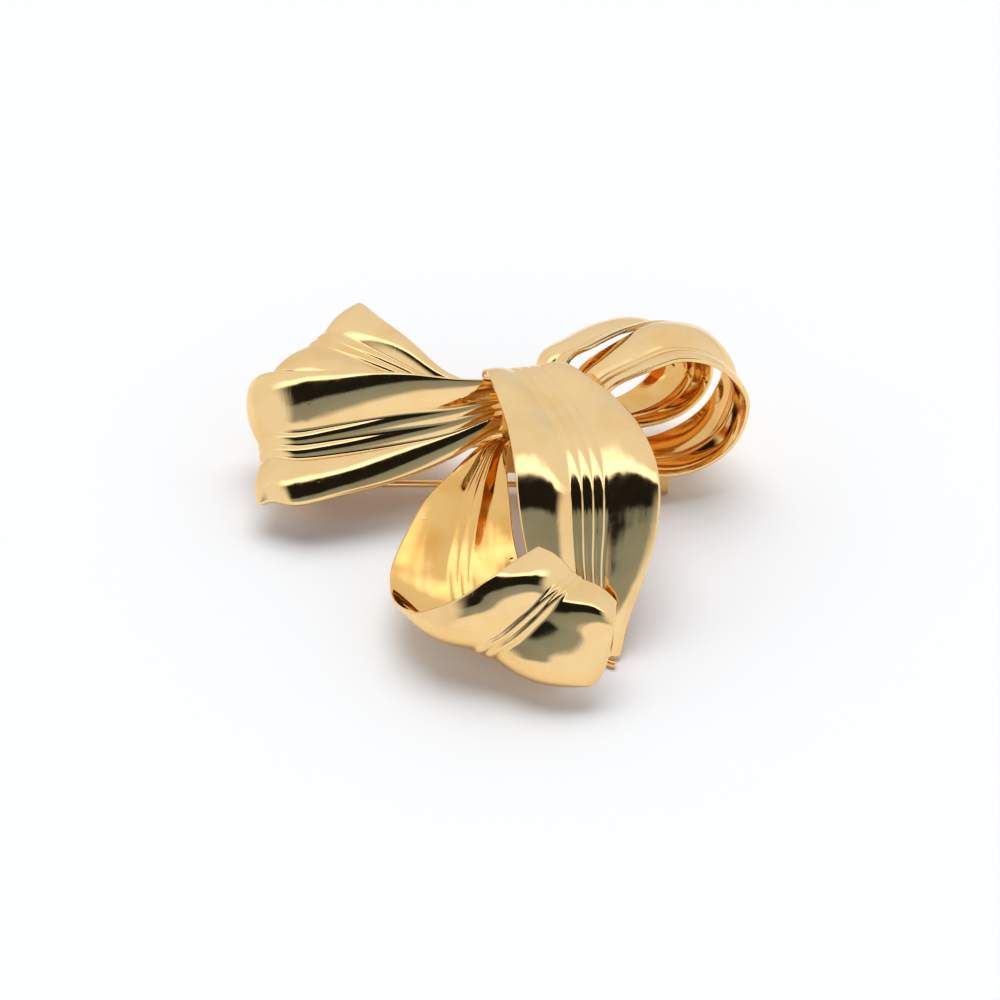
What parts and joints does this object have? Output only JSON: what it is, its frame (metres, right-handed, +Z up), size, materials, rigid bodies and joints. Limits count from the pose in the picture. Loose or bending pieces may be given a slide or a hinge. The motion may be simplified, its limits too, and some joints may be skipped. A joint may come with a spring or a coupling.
{
  "type": "brooch",
  "caption": "Polished gold-coloured bow brooch of pleated ribbon loops with one straight and one curled tail, and a hinged pin across its back.",
  "frame": {"origin": "on the surface that the brooch lies on, under the middle of the whole brooch; the tails point to the front", "axes": "+X to the right of the face, towards the two round loops; +Y away from the tails; +Z up, out of the brooch's face"},
  "size_m": [0.0648, 0.0654, 0.021],
  "materials": {
    "gold_plate": "polished, folded sheet",
    "gold_core": "polished, in shade",
    "gold_mount": "satin",
    "pin_wire": "polished wire"
  },
  "bodies": {
    "bow": {"left_front_loop": "gold_plate", "left_back_loop": "gold_plate", "right_front_loop": "gold_plate", "right_back_loop": "gold_plate", "centre_ribbon": "gold_plate", "curled_tail": "gold_plate", "knot_core": "gold_core", "pin_hinge": "gold_mount", "pin_hook": "gold_mount"},
    "pin": {"pin_stem": "pin_wire"}
  },
  "joints": [
    {"name": "pin_swing", "type": "hinge", "parent": "bow", "child": "pin", "pos_m": [-0.02247, 0.00937, 0.0013], "axis": [0, 0, 1], "range_deg": [0, 60]}
  ]
}
